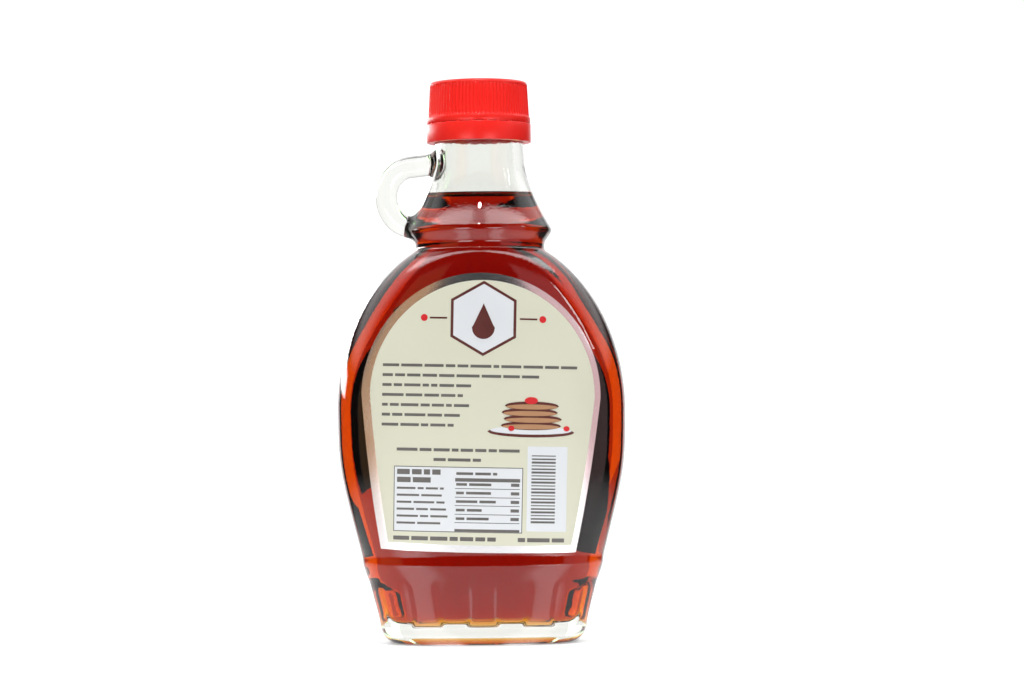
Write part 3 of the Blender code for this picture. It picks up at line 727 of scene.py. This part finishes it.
def make_band():
    """The tamper band under the slit: a plain ring with rounded edges, its section a closed round of rings."""
    high, low, soft = CAP_SLIT_Z - 0.5 * CAP_SLIT, BAND_FOOT_Z, BAND_EDGE
    outer = [(BAND_RADIUS - x * soft, z * soft) for x, z in ((1.0, 0.0), (0.3, 0.3), (0.0, 1.0))]
    inner = [(CAP_WALL_RADIUS, soft), (CAP_WALL_RADIUS + soft, 0.0)]
    profile = [(x, high - z) for x, z in outer] + [(x, low + z) for x, z in outer[::-1] + inner[::-1]]
    profile += [(x, high - z) for x, z in inner]
    rings = turned(profile, evenly(240))
    index = np.arange(rings[..., 0].size).reshape(rings.shape[:2])
    quads = between_round(np.concatenate((index, index[:1])))
    band = make_piece("tamper_band", rings.reshape(-1, 3), quads, flat=SHARP_EDGE)
    return band


def make_bridges():
    """The thin bridges across the slit, evenly spaced round it, each a small block."""
    middle = 2.0 * np.pi * (np.arange(BRIDGES) + 0.5) / BRIDGES
    half = BRIDGE_HALF_WIDTH / CAP_BEAD_RADIUS
    corners = [np.stack((radius * np.cos(turn), radius * np.sin(turn), np.full(BRIDGES, z)), axis=-1)
               for radius in BRIDGE_RADII for z in (CAP_SLIT_Z - BRIDGE_REACH, CAP_SLIT_Z + BRIDGE_REACH)
               for turn in (middle - half, middle + half)]
    points = np.stack(corners, axis=1).reshape(-1, 3)
    block = np.array([(0, 1, 3, 2), (4, 6, 7, 5), (0, 4, 5, 1), (2, 3, 7, 6), (0, 2, 6, 4), (1, 5, 7, 3)])
    quads = (8 * np.arange(BRIDGES))[:, None, None] + block[None]
    bridges = make_piece("band_bridges", points, quads, flat=30.0)
    return bridges


def on_face(x, z, out):
    """Points of the front face at label places x, z: turned by the label's tilt, then laid on the glass."""
    c, s = math.cos(LABEL_TILT), math.sin(LABEL_TILT)
    px, pz = c * x - s * (z - LABEL_MIDDLE_Z), s * x + c * (z - LABEL_MIDDLE_Z) + LABEL_MIDDLE_Z
    width, depth, power = body_size(pz)
    proud = out + ledge(pz, 1.0)
    share = np.clip(abs(px) / (width + proud), 0.0, 1.0)
    py = -(depth + proud) * (1.0 - share ** power) ** (1.0 / power)
    return np.stack((px, py, pz), axis=-1)


def laid(x, z, out, back=PRINT_BACK):
    """A thin sheet over a grid of label places: points of its back and front, quads of both and of its sides."""
    rear = np.arange(x.size).reshape(x.shape)
    front = rear + x.size
    grids = [rear, front]
    for side in (np.s_[0], np.s_[-1], np.s_[:, 0], np.s_[:, -1]):
        grids.append(np.stack((rear[side], front[side])))
    points = np.concatenate([on_face(x, z, height).reshape(-1, 3) for height in (back, out)])
    return points, np.concatenate([between(grid).reshape(-1, 4) for grid in grids])


def label_grid(inset=0.0):
    """Label places of the label drawn in by an inset: even rows up its sides and round its arch.

    Half the width is an oval arch over the widest level; below, it falls with the drop and its square.
    """
    arch = LABEL_ARCH - inset
    climb = LABEL_MIDDLE_Z + arch * np.sin(np.radians(np.linspace(0.0, LABEL_LAST_ANGLE, 60)))
    rows = np.concatenate((np.linspace(LABEL_FOOT_Z + inset, LABEL_MIDDLE_Z, 40)[:-1], climb))
    rise = np.clip((rows - LABEL_MIDDLE_Z) / arch, 0.0, 1.0)
    fall = np.maximum(LABEL_MIDDLE_Z - rows, 0.0)
    low = LABEL_HALF_WIDTH - LABEL_SIDE_SLOPE * fall - LABEL_SIDE_CURVE * fall ** 2
    high = (LABEL_HALF_WIDTH - inset) * np.sqrt(1.0 - rise ** 2)
    half = np.where(rows >= LABEL_MIDDLE_Z, high, low - inset)
    across = np.sin(0.5 * np.pi * np.linspace(-1.0, 1.0, 61) * EDGE_CROWDING) / math.sin(0.5 * np.pi * EDGE_CROWDING)
    bow = LABEL_FOOT_BOW * across ** 2 * (1.0 - smoothstep(rows[:, None], LABEL_FOOT_Z, LABEL_BOW_REACH))
    return across * half[:, None], rows[:, None] + bow


def make_label():
    """The label sheet, bent to the glass; its foil shows round the cream."""
    label = make_piece("foil_edged_label", *laid(*label_grid(), LABEL_FRONT, LABEL_BACK), flat=40.0)
    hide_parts("label_front")
    return label


def joined(name, parts):
    """One piece made of several printed layers."""
    points, quads = zip(*parts)
    starts = np.cumsum([0] + [len(some) for some in points])
    quads = [some + start for some, start in zip(quads, starts)]
    piece = make_piece(name, np.concatenate(points), np.concatenate(quads), flat=40.0)
    return piece


def make_cream():
    """The cream printed area inside the foil edge: the label's own outline, drawn in."""
    x, z = label_grid(FOIL)
    return joined("cream_field", [laid(PRINT_SHIFT + x, z, CREAM_OUT)])


def field(left, right, low, high, out=INK_OUT, columns=None):
    """A printed shape between a lower and an upper edge, each a level or a function of x."""
    columns = columns or max(2, int(math.ceil((right - left) / PRINT_COLUMN)) + 1)
    x = np.linspace(left, right, columns)
    floor, roof = (edge(x) if callable(edge) else np.full_like(x, edge) for edge in (low, high))
    rows = max(2, int(math.ceil(float((roof - floor).max()) / PRINT_ROW)) + 1)
    share = np.linspace(0.0, 1.0, rows)[:, None]
    return laid(np.repeat(x[None, :], rows, 0), floor + (roof - floor) * share, out)


def words(left, right, middle, height, draw):
    """A line of plain bars, as wide as words and with gaps between them; no bar is a letter."""
    bars, x = [], left
    while x < right - LEAST_WORD:
        end = min(x + draw.uniform(*WORD_WIDTHS) * MM, right)
        if right - end < WORD_WIDTHS[0] * MM:
            end = right
        bars.append(field(x, end, middle - 0.5 * height, middle + 0.5 * height))
        x = end + WORD_GAP
    return bars


def oval(middle_x, middle_z, half_width, half_height, out, columns=25, tent=False):
    """A printed oval, or a hexagon on a point: edges at sqrt(1 - s^2), or 1 - |s| / 2, of the half height."""
    def edge(way):
        def level(x):
            share = (x - middle_x) / half_width
            rise = 1.0 - 0.5 * abs(share) if tent else np.sqrt(np.maximum(0.0, 1.0 - share ** 2))
            return middle_z + way * half_height * rise
        return level
    reach = (1.0 if tent else 0.999) * half_width
    return field(middle_x - reach, middle_x + reach, edge(-1.0), edge(1.0), out, columns)


def drop(middle_z, radius, out):
    """A printed drop: a round bottom, and flanks that draw up to a tip."""
    def low(x):
        return middle_z - np.sqrt(np.maximum(0.0, radius ** 2 - (x - PRINT_SHIFT) ** 2))

    def high(x):
        share = 1.0 - abs(x - PRINT_SHIFT) / radius
        return middle_z + 2.1 * radius * np.maximum(share, 0.0) ** 1.7 + 0.35 * radius * np.sin(np.pi * share)
    reach = 0.999 * radius
    return field(PRINT_SHIFT - reach, PRINT_SHIFT + reach, low, high, out, 25)


def make_text(draw):
    """The grey print: lines of bars, the framed table with its rules, and the stripes."""
    left, right, low, high = TABLE
    in_left, in_right, in_low, in_high = left + TABLE_RULE, right - TABLE_RULE, low + TABLE_RULE, high - TABLE_RULE
    grey = [field(left, right, low, in_low), field(left, right, in_high, high),
            field(left, in_left, in_low, in_high), field(in_right, right, in_low, in_high)]
    for row, end in enumerate(TEXT_RIGHT):
        grey += words(TEXT_LEFT, end * MM, TEXT_TOP - row * TEXT_PITCH, TEXT_HEIGHT, draw)
    for line in SINGLE_LINES:
        grey += words(*[place * MM for place in line], draw)
    for level, thick in TABLE_RULES:
        grey.append(field(TABLE_SPLIT, right - 0.8 * MM, (level - 0.5 * thick) * MM, (level + 0.5 * thick) * MM))
    start = TABLE_SPLIT + 0.3 * MM
    for row in range(5):
        level = (46.6 - 2.46 * row) * MM
        grey += words(start, TABLE_SPLIT + draw.uniform(7.0, 12.0) * MM, level, 0.75 * MM, draw)
        grey.append(field(right - 3.4 * MM, right - 1.0 * MM, level - 0.45 * MM, level + 0.45 * MM))
    grey += words(start, TABLE_SPLIT + 12.0 * MM, 49.7 * MM, 0.75 * MM, draw)
    start = left + 0.9 * MM
    for row, (height, end) in enumerate(TABLE_HEADS):
        grey += words(start, left + end * MM, high - (1.6 + 2.3 * row) * MM, height * MM, draw)
    for row in range(6):
        grey += words(start, left + draw.uniform(13.5, 16.2) * MM, high - (6.3 + 2.0 * row) * MM, 0.6 * MM, draw)
    left, right, low, high = STRIPES
    for k in range(STRIPE_COUNT):
        level = low + (high - low) * (k + 0.5) / STRIPE_COUNT
        half = (0.62 - 0.3 * (k % 3) / 2.0) * 0.5 * (high - low) / STRIPE_COUNT
        grey.append(field(left, right, level - half, level + half, columns=5))
    return grey


def make_print():
    """Everything printed on the cream: white boxes, grey bars and rules, a brown badge, a small picture."""
    white = [field(*TABLE, WHITE_OUT), field(*STRIPE_BOX, WHITE_OUT), oval(*BADGE_FIELD, INK_OUT, 17, tent=True)]
    grey = make_text(np.random.default_rng(7))
    brown = [oval(*BADGE, WHITE_OUT, 17, tent=True), drop(BADGE_DROP_Z, BADGE_DROP_RADIUS, ACCENT_OUT + 0.02 * MM)]
    red, tan = [], []
    for way in (-1.0, 1.0):
        near, far = sorted((way * BADGE_RULE[0], way * BADGE_RULE[1]))
        brown.append(field(PRINT_SHIFT + near, PRINT_SHIFT + far, BADGE_Z - 0.25 * MM, BADGE_Z + 0.25 * MM))
        red.append(oval(PRINT_SHIFT + way * BADGE_DOT_X, BADGE_Z, 1.0 * MM, 1.0 * MM, INK_OUT, 15))
    brown.append(oval(PICTURE_X, PICTURE_Z - 0.6 * MM, 12.4 * MM, 1.5 * MM, INK_OUT, 41))
    white.append(oval(PICTURE_X, PICTURE_Z - 0.15 * MM, 11.7 * MM, 1.15 * MM, INK_OUT + 0.01 * MM, 41))
    for layer, lean in enumerate(PANCAKE_LEANS):
        x, level = PICTURE_X + lean * MM, PICTURE_Z + (1.2 + 1.9 * layer) * MM
        out, face_out = (INK_OUT + (height + 0.02 * layer) * MM for height in (0.02, 0.03))
        brown.append(oval(x, level, (8.6 - 0.3 * layer) * MM, 1.25 * MM, out, 33))
        tan.append(oval(x, level - 0.3 * MM, (8.3 - 0.3 * layer) * MM, 0.72 * MM, face_out, 33))
    red.append(oval(PICTURE_X, PICTURE_Z + 8.4 * MM, 1.9 * MM, 1.0 * MM, TOP_OUT, 25))
    for x, z in BERRIES:
        red.append(oval(PICTURE_X + x * MM, PICTURE_Z + z * MM, 0.9 * MM, 0.75 * MM, TOP_OUT, 15))
    layers = {"white": white, "grey": grey, "brown": brown, "red": red, "tan": tan}
    return {name: joined("printed_" + name, parts) for name, parts in layers.items()}


def node(tree, kind, inputs=None, **settings):
    """A new shader node with its settings; each input is a value, or a socket that is linked to it."""
    made = tree.nodes.new("ShaderNode" + kind)
    for key, value in settings.items():
        setattr(made, key, value)
    for key, value in (inputs or {}).items():
        if isinstance(value, bpy.types.NodeSocket):
            tree.links.new(value, made.inputs[key])
        else:
            made.inputs[key].default_value = value
    return made


def blank(name):
    """An empty node material and its tree."""
    finish = bpy.data.materials.new(name)
    finish.use_nodes = True
    finish.node_tree.nodes.clear()
    return finish, finish.node_tree


def show(shader, **more):
    """The material's output, fed by a shader."""
    node(shader.id_data, "OutputMaterial", {"Surface": shader.outputs[0], **more})


def place_of(tree, kind="Object"):
    """The three coordinates of a place on the piece, or of a direction in the studio."""
    where = node(tree, "TexCoord").outputs[kind]
    parts = node(tree, "SeparateXYZ", {"Vector": where})
    return where, [parts.outputs[name] for name in "XYZ"]


def grained(tree, scale, detail=3.0):
    """Noise on the piece's own coordinates."""
    where = node(tree, "TexCoord").outputs["Object"]
    return node(tree, "TexNoise", {"Vector": where, "Scale": scale, "Detail": detail}).outputs["Fac"]


def blended(fac, first, second):
    """A colour that runs from one to the other with a factor."""
    first, second = ((*end, 1.0) if isinstance(end, tuple) else end for end in (first, second))
    inputs = {"Factor": fac, "A": first, "B": second}
    return node(fac.id_data, "Mix", inputs, data_type="RGBA").outputs["Result"]


def bumped(height, distance):
    """The surface's direction, disturbed by a height between 0 and 1."""
    return node(height.id_data, "Bump", {"Height": height, "Distance": distance}).outputs["Normal"]


def ramp(value, low, high, first=0.0, last=1.0, kind="SMOOTHSTEP"):
    """A number that runs from first to last as the value runs from low to high."""
    inputs = {"Value": value, "From Min": low, "From Max": high, "To Min": first, "To Max": last}
    return node(value.id_data, "MapRange", inputs, interpolation_type=kind).outputs["Result"]


def calc(operation, *values):
    """A Math node whose inputs are sockets or numbers."""
    tree = next(value.id_data for value in values if isinstance(value, bpy.types.NodeSocket))
    return node(tree, "Math", dict(enumerate(values)), operation=operation).outputs["Value"]


def product(*factors):
    """All the factors multiplied together."""
    return reduce(lambda total, factor: calc("MULTIPLY", total, factor), factors)


def either(*parts):
    """The largest of several strengths."""
    return reduce(lambda total, part: calc("MAXIMUM", total, part), parts)


def window(value, low, high, soft):
    """1 between two limits and 0 outside them, with soft edges."""
    rise = ramp(value, low - soft, low + soft)
    return calc("SUBTRACT", rise, ramp(value, high - soft, high + soft))


def solid_finish(name, dark, light, roughness, grain, bump, metallic=0.0, sheen_scale=40.0, glow=0.0):
    """A lit finish: colour between two near shades, roughness that wanders, a fine grain, and a glow in its own
    colour that is painted light.
    """
    finish, tree = blank(name)
    broad = grained(tree, sheen_scale, 2.0)
    colour = blended(broad, dark, light)
    wander = ramp(broad, 0.3, 0.7, *roughness, kind="LINEAR")
    show(node(tree, "BsdfPrincipled", {
        "Metallic": metallic, "Base Color": colour, "Emission Color": colour, "Emission Strength": glow,
        "Roughness": wander, "Normal": bumped(grained(tree, grain), bump)}))
    return finish


def glass_finish():
    """Soda glass: a faint grey-green tint where it is thick and bare, deepened as painted shade that dims the bright
    room seen through it, and a slight orange peel.
    """
    finish, tree = blank("flask_glass")
    x, _, z = place_of(tree)[1]
    handle = product(ramp(x, *HANDLE_ZONE_X, 1.0, 0.0), ramp(z, *HANDLE_ZONE_Z))
    bare, heel = ramp(z, *BARE_ZONE_Z), ramp(z, *HEEL_ZONE_Z, 1.0, 0.0)
    zones = zip((bare, heel, handle), (BARE_TINT_AND_SHADE, HEEL_TINT_AND_SHADE, HANDLE_TINT_AND_SHADE))
    # Painted shade: the bare neck, the heel and the handle are darkened past the glass's own tint
    tint_and_shade = either(*[product(zone, strength) for zone, strength in zones])
    tint_and_shade = calc("MULTIPLY_ADD", grained(tree, 60.0), 0.05, tint_and_shade)
    peel = ramp(z, *PEEL_ZONE_Z, *PEEL_STRENGTH)
    peel = calc("MULTIPLY_ADD", grained(tree, 1100.0, 2.0), peel, grained(tree, 300.0))
    show(node(tree, "BsdfPrincipled", {
        "IOR": GLASS_IOR, "Transmission Weight": 1.0, "Base Color": blended(tint_and_shade, *GLASS_TINT_AND_SHADE),
        "Roughness": product(handle, HANDLE_ROUGHNESS), "Normal": bumped(peel, PEEL_DEPTH)}))
    return finish


def plain_finish(name, kind, grain, first, second):
    """A finish of one shader whose colour runs between two near shades."""
    finish, tree = blank(name)
    show(node(tree, kind, {"Color": blended(grained(tree, grain), first, second)}))
    return finish


def syrup_finish(name, ior):
    """Clear amber: the surface bends light, and the depth of the filling colours it."""
    finish, tree = blank(name)
    colour = blended(grained(tree, 30.0), (1.0, 1.0, 1.0), (0.995, 0.99, 0.985))
    depth = node(tree, "VolumeAbsorption", {"Color": SYRUP_TINT, "Density": SYRUP_DENSITY})
    shader = node(tree, "BsdfGlass", {"Roughness": 0.0, "IOR": ior, "Color": colour})
    show(shader, Volume=depth.outputs["Volume"])
    return finish


def put(piece, *finishes):
    """Give a piece its finishes, slot by slot."""
    for finish in finishes:
        piece.data.materials.append(finish)


def make_lights():
    """The area lights, each of a stated radiance and turned to the bottle's middle."""
    for name, azimuth, elevation, distance, width, height, radiance, mirrored in LIGHTS:
        light = bpy.data.lights.new(name, "AREA")
        light.shape = "RECTANGLE"
        light.size, light.size_y = width, height
        light.energy = radiance * math.pi * width * height
        lamp = added(name, light)
        a, e = math.radians(azimuth), math.radians(elevation)
        level = distance * math.cos(e)
        lamp.location = level * math.sin(a), -level * math.cos(a), STUDIO_MIDDLE_Z + distance * math.sin(e)
        lamp.rotation_euler = (LIGHTS_AIM - lamp.location).to_track_quat("-Z", "Y").to_euler()
        lamp.visible_glossy = lamp.visible_transmission = mirrored


def stage_sheet(name, points, finish):
    """One flat face of the studio."""
    mesh = bpy.data.meshes.new(name)
    mesh.from_pydata(points, [], [list(range(len(points)))])
    sheet = added(name, mesh)
    put(sheet, finish)
    return sheet


def make_floor():
    """A plain pale round floor: it clears towards its edge, and mirrored light finds two lit sectors."""
    finish, tree = blank("floor_white")
    where, (x, y, _) = place_of(tree)
    turn = calc("ARCTAN2", calc("ABSOLUTE", x), product(y, -1.0))
    sector = window(turn, *[math.radians(limit) for limit in FLOOR_SECTOR])
    mirrored = node(tree, "LightPath").outputs["Is Glossy Ray"]
    glow = calc("ADD", product(sector, mirrored, FLOOR_SECTOR_LIGHT), FLOOR_GLOW)
    lit = node(tree, "BsdfPrincipled", {
        "Roughness": 0.6, "Emission Color": (1.0, 1.0, 1.0, 1.0), "Emission Strength": glow,
        "Base Color": blended(grained(tree, 8.0), (0.8, 0.8, 0.8), (0.82, 0.82, 0.82))})
    reach = node(tree, "VectorMath", {0: where}, operation="LENGTH").outputs["Value"]
    clear = node(tree, "BsdfTransparent").outputs[0]
    fade = ramp(reach, FLOOR_FADE, FLOOR_REACH)
    show(node(tree, "MixShader", {"Fac": fade, 1: lit.outputs[0], 2: clear}))
    rim = turned([(FLOOR_REACH, 0.0)], evenly(FLOOR_SIDES))[0]
    stage_sheet("floor", rim.tolist(), finish).visible_transmission = False


def make_cards():
    """Upright cards behind the bottle that only the light bent through the glass can meet: the black ones paint
    shade, the lit ones paint light.
    """
    # Painted shade from the black cards and painted light from the lit ones, both seen only through the glass
    black = plain_finish("painted_shade_card", "BsdfDiffuse", 8.0, *PAINTED_SHADE_CARD)
    lit = plain_finish("card_lit", "Emission", 8.0, *CARD_LIT)
    for name, (left, low, right, high, *step) in CARDS.items():
        outline = [(left, low), (right, low), (right, high), (left, high)]
        if step:
            inner, shelf, corner = step
            outline[3:] = [(inner, high), (inner, shelf), (left, corner)]
        finish, back = (lit, LIT_CARDS_Y) if name.startswith("lit") else (black, SHADE_CARDS_Y)
        card = stage_sheet(name, [(x * MM, back, z * MM) for x, z in outline], finish)
        card.visible_camera = card.visible_diffuse = card.visible_glossy = card.visible_shadow = False


def make_world():
    """White to look at; what the glass bends shows a white room; what it mirrors is dimmer.

    Directions are in degrees off the front-to-back line, degrees up, and shares across, back and up.
    """
    world = bpy.data.worlds.new("studio")
    world.use_nodes = True
    bpy.context.scene.world = world
    tree = world.node_tree
    tree.nodes.clear()
    across, back, up = place_of(tree, "Generated")[1]
    turn = product(calc("ARCTAN2", across, calc("ABSOLUTE", back)), 180.0 / math.pi)
    climb = product(calc("ARCSINE", calc("MINIMUM", calc("MAXIMUM", up, -1.0), 1.0)), 180.0 / math.pi)
    left, aside = product(turn, -1.0), calc("ABSOLUTE", turn)
    steep = product(ramp(calc("ABSOLUTE", climb), 40.0, 75.0), ROOM_STEEP_LOSS)
    sideways = product(ramp(aside, 55.0, 85.0), ROOM_SIDE_LOSS)
    bent = product(calc("SUBTRACT", 1.0, either(steep, sideways)), ROOM_WHITE)

    behind = product(ramp(back, 0.80, 0.92), REAR_STRIP_LIGHT)
    wall = product(ramp(back, -0.1, 0.25), ramp(climb, 14.0, 24.0), REAR_WALL_LIGHT)
    pane = product(window(left, 14.0, 62.0, 4.0), window(climb, 4.5, 12.0, 1.0))
    pane = product(pane, ramp(back, 0.0, 0.1), PANE_LIGHT)
    lean = calc("MULTIPLY_ADD", back, HOOP_LEAN[0], product(up, HOOP_LEAN[1]))
    spread = ramp(calc("ABSOLUTE", across), 0.06, 0.22, 0.45, 1.0)
    hoop = product(window(lean, 0.695, 0.79, 0.03), product(spread, ramp(back, 0.5, 0.3)), HOOP_LIGHT)
    ahead = ramp(back, 0.05, -0.05)
    low_sides = product(window(aside, 13.0, 40.0, 5.0), window(climb, -27.0, -7.0, 3.0))
    low_sides = product(low_sides, ahead, LOW_SIDE_LIGHT)
    front = product(ahead, window(climb, -35.0, 38.0, 4.0))
    tan_wall = product(window(left, 38.0, 74.0, 2.5), front)
    pink_wall = product(window(turn, 38.0, 80.0, 2.5), front)

    ray = node(tree, "LightPath").outputs
    walls = product(tan_wall, TAN_LIGHT), product(pink_wall, PINK_LIGHT)
    shine = product(either(hoop, low_sides, *walls), ray["Is Glossy Ray"])
    mirrored = either(behind, wall, pane, shine, ROOM_SHADE)
    through = product(bent, ray["Is Transmission Ray"])
    rest = calc("SUBTRACT", 1.0, ray["Is Transmission Ray"])
    value = calc("MULTIPLY_ADD", rest, mirrored, through)
    colour = blended(product(tan_wall, ray["Is Glossy Ray"]), (1.0, 1.0, 1.0), TAN_WALL)
    colour = blended(product(pink_wall, ray["Is Glossy Ray"]), colour, PINK_WALL)
    strength = either(value, ray["Is Camera Ray"])
    shade = node(tree, "Background", {"Color": colour, "Strength": strength})
    node(tree, "OutputWorld", {"Surface": shade.outputs["Background"]})


def make_camera():
    """The photograph's view: level with the bottle's middle, square to its label."""
    camera = bpy.data.cameras.new("camera")
    camera.lens = CAMERA_LENS
    camera.clip_start = 0.01
    eye = added("camera", camera)
    turn = Matrix.Rotation(math.radians(90.0) + CAMERA_PITCH, 4, "X") @ Matrix.Rotation(CAMERA_ROLL, 4, "Z")
    eye.matrix_world = Matrix.Translation(CAMERA_PLACE) @ turn
    bpy.context.scene.camera = eye


def main():
    """The bottle's pieces with their finishes, and then the studio."""
    wet_top = LEVEL_Z + FILM_HEIGHT
    # Where the filling wets the inside of the glass, light goes straight on into the filling
    wetted = "wetted_glass", "BsdfTransparent", 60.0, (1.0, 1.0, 1.0), (0.995, 0.995, 0.995)
    put(make_glass(wet_top), glass_finish(), plain_finish(*wetted))
    body, top = syrup_finish("syrup_body", SYRUP_IOR / GLASS_IOR), syrup_finish("syrup_top", SYRUP_IOR)
    put(make_syrup(wet_top), body, top)
    plastic = solid_finish("cap_red", **RED_PLASTIC)
    for piece in (make_cap(), make_band(), make_bridges()):
        put(piece, plastic)
    put(make_label(), solid_finish("foil", **FOIL_LOOK))
    put(make_cream(), solid_finish("cream_paper", **CREAM_LOOK))
    for name, piece in make_print().items():
        put(piece, solid_finish("ink_" + name, *INKS[name], **INK_LOOK))
    make_floor()
    make_cards()
    make_world()
    make_lights()
    make_camera()
    scene = bpy.context.scene
    scene.view_settings.view_transform = "Standard"
    scene.cycles.max_bounces = scene.cycles.transmission_bounces = scene.cycles.transparent_max_bounces = 24


main()
